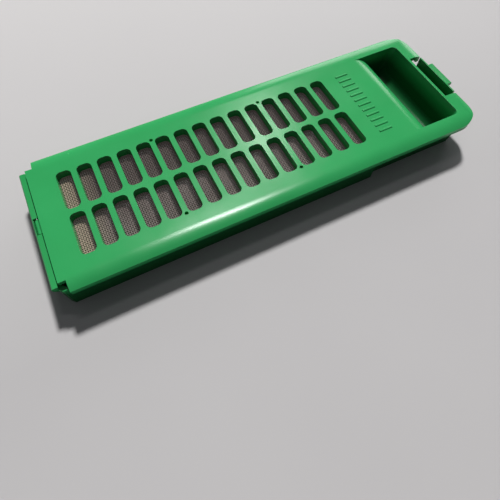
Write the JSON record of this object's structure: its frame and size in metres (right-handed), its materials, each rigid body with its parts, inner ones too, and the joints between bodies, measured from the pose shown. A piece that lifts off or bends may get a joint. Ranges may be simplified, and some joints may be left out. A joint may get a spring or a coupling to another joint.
{
  "type": "lint filter cassette",
  "caption": "Flat slotted plastic filter cassette with a stretched net behind the front cover, a finger pocket, a hinged cover and a springy latch tongue.",
  "frame": {"origin": "middle of the closed cassette's underside", "axes": "+X along the length from the hinge lip to the latch, +Y across the width, +Z out of the slotted front"},
  "size_m": [0.212, 0.0688, 0.0163],
  "materials": {
    "cover_plastic": "glossy bright green moulded plastic",
    "frame_plastic": "semi-gloss green moulded plastic",
    "net": "fine woven net",
    "wire_steel": "drawn stainless wire"
  },
  "bodies": {
    "frame": {"rear_frame": "frame_plastic", "hinge_wire": "wire_steel"},
    "cover": {"front_cover": "cover_plastic", "filter_net": "net", "net_frame": "cover_plastic", "net_stake_pins": "cover_plastic"},
    "latch": {"latch_tongue": "frame_plastic"}
  },
  "joints": [
    {"name": "cover_hinge", "type": "hinge", "parent": "frame", "child": "cover", "pos_m": [-0.1041, 0, 0.01305], "axis": [0, -1, 0], "range_deg": [0, 95]},
    {"name": "latch_flex", "type": "hinge", "parent": "frame", "child": "latch", "pos_m": [0.1022, 0, 0.0016], "axis": [0, 1, 0], "range_deg": [-3, 7], "stiffness_Nm_per_rad": 0.3}
  ]
}
